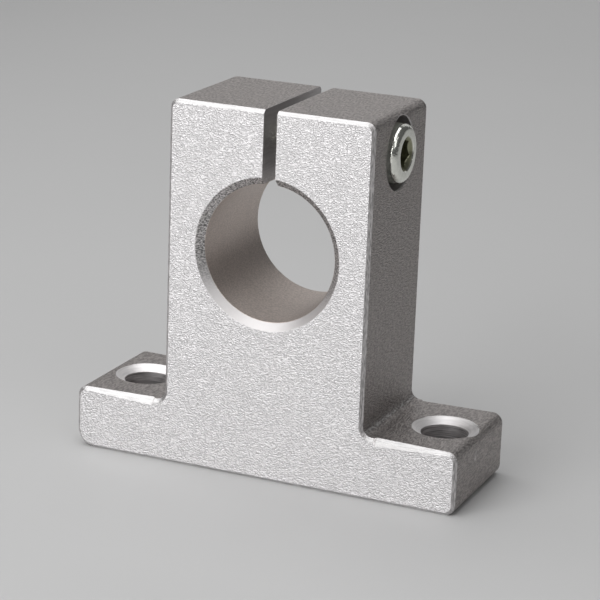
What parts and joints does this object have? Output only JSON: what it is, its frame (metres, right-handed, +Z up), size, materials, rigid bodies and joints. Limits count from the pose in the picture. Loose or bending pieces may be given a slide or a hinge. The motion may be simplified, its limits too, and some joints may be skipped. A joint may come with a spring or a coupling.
{
  "type": "shaft support block",
  "caption": "Aluminium foot-mounted block that clamps a round shaft in a split bore with a socket head screw.",
  "frame": {"origin": "middle of the base, on the surface that the block is screwed to", "axes": "+X across the feet towards the screw head, +Y along the shaft towards the back, +Z up"},
  "size_m": [0.048, 0.016, 0.0436],
  "materials": {
    "blasted_aluminium": "bead blasted and clear anodised",
    "plated_steel": "bright zinc plated"
  },
  "bodies": {
    "block": {"block": "blasted_aluminium"},
    "screw": {"clamp_screw": "plated_steel"}
  },
  "joints": [
    {"name": "clamp_screw_turn", "type": "hinge", "parent": "block", "child": "screw", "pos_m": [0.0093, 0, 0.0388], "axis": [1, 0, 0], "range_deg": [0, 2970]}
  ]
}
